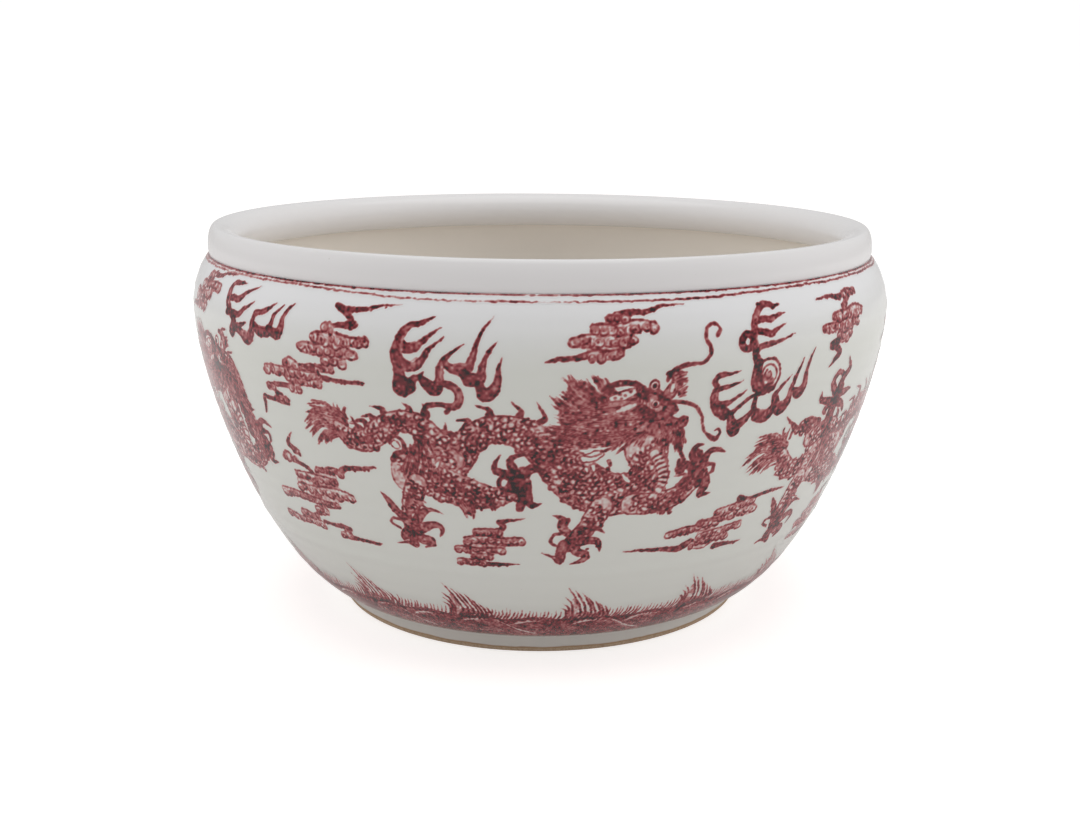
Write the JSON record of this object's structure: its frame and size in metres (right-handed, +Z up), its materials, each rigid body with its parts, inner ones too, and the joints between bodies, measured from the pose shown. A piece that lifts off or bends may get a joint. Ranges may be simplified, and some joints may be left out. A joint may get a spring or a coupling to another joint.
{
  "type": "porcelain basin",
  "caption": "Wide round porcelain basin with a rolled rim, high shoulder and low foot ring, painted in red under a clear glaze.",
  "frame": {"origin": "centre of the foot ring's standing face, on the surface that the basin stands on", "axes": "+Z up along the basin's axis of revolution; -Y towards the viewer, facing the painted front"},
  "size_m": [0.4, 0.4, 0.2201],
  "materials": {
    "glazed_porcelain": "clear glossy glaze over white porcelain, painted in copper red under the glaze",
    "rim_glaze": "thicker white glaze on the rolled rim, softly glossy",
    "bare_clay": "unglazed biscuit edge of the foot ring, lightly toasted"
  },
  "bodies": {
    "root": {"foot_ring": "bare_clay", "lower_bowl": "glazed_porcelain", "upper_wall": "glazed_porcelain", "rim_roll": "rim_glaze"}
  },
  "joints": []
}
